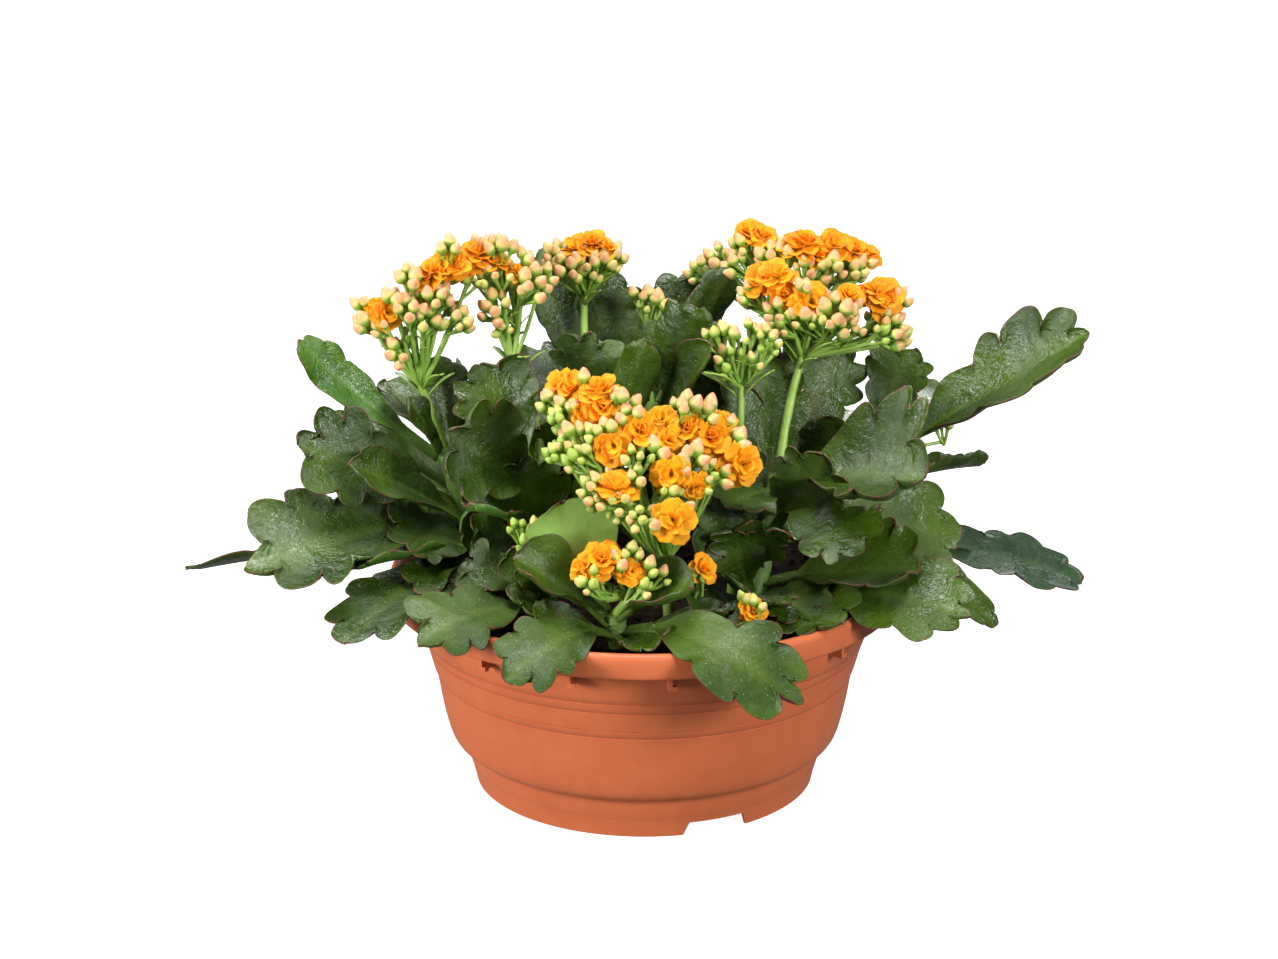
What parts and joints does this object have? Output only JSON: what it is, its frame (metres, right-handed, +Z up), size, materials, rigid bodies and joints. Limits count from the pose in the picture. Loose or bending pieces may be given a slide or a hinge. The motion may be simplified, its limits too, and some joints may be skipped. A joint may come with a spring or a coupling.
{
  "type": "potted kalanchoe",
  "caption": "Flowering kalanchoe with scalloped glossy leaves and double orange flowers in a terracotta-coloured plastic bowl.",
  "frame": {"origin": "centre of the bowl's foot ring, on the surface the bowl stands on", "axes": "+Z up along the bowl's axis, +X to the right and -Y towards the viewer of the plant's front"},
  "size_m": [0.4478, 0.3018, 0.2685],
  "materials": {
    "pot_plastic": "satin moulded plastic",
    "soil": "loose damp compost",
    "stem_green": "smooth fleshy stem",
    "leaf_green": "thick waxy leaf, glossy above",
    "flower_heads": "soft petals and pale green buds"
  },
  "bodies": {
    "root": {"pot": "pot_plastic", "soil": "soil", "stem_left": "stem_green", "stem_mid_left": "stem_green", "stem_front_left": "stem_green", "stem_front": "stem_green", "stem_right": "stem_green", "stem_right_back": "stem_green", "stem_back": "stem_green", "stem_back_left": "stem_green", "leaf_left_tall": "leaf_green", "leaf_left_mid": "leaf_green", "leaf_left_behind": "leaf_green", "leaf_left_curl": "leaf_green", "leaf_left_finger": "leaf_green", "leaf_left_upright": "leaf_green", "leaf_left_big": "leaf_green", "leaf_left_low": "leaf_green", "leaf_left_far": "leaf_green", "leaf_left_hanging": "leaf_green", "leaf_centre_tall": "leaf_green", "leaf_centre_big": "leaf_green", "leaf_centre_curl": "leaf_green", "leaf_rim_left": "leaf_green", "leaf_soil_left": "leaf_green", "leaf_front_left": "leaf_green", "leaf_front_right": "leaf_green", "leaf_rim_front": "leaf_green", "leaf_rim_right": "leaf_green", "leaf_round_pale": "leaf_green", "leaf_right_dark": "leaf_green", "leaf_right_big": "leaf_green", "leaf_right_inner": "leaf_green", "leaf_right_hanging": "leaf_green", "leaf_right_mid": "leaf_green", "leaf_right_wavy": "leaf_green", "leaf_right_low": "leaf_green", "leaf_right_tip": "leaf_green", "leaf_right_far": "leaf_green", "leaf_right_slim": "leaf_green", "leaf_right_tall": "leaf_green", "leaf_back_right": "leaf_green", "leaf_back_lobed": "leaf_green", "leaf_back_tall": "leaf_green", "leaf_back_finger": "leaf_green", "leaf_back_diagonal": "leaf_green", "leaf_back_rolled": "leaf_green", "leaf_top_dark": "leaf_green", "leaf_top_long": "leaf_green", "leaf_top_behind": "leaf_green", "leaf_rear_left": "leaf_green", "leaf_rear_right": "leaf_green", "flowers_left": "flower_heads", "flowers_mid_left": "flower_heads", "flowers_centre_back": "flower_heads", "flowers_back": "flower_heads", "flowers_right": "flower_heads", "flowers_green": "flower_heads", "flowers_front": "flower_heads", "flowers_low": "flower_heads"}
  },
  "joints": []
}
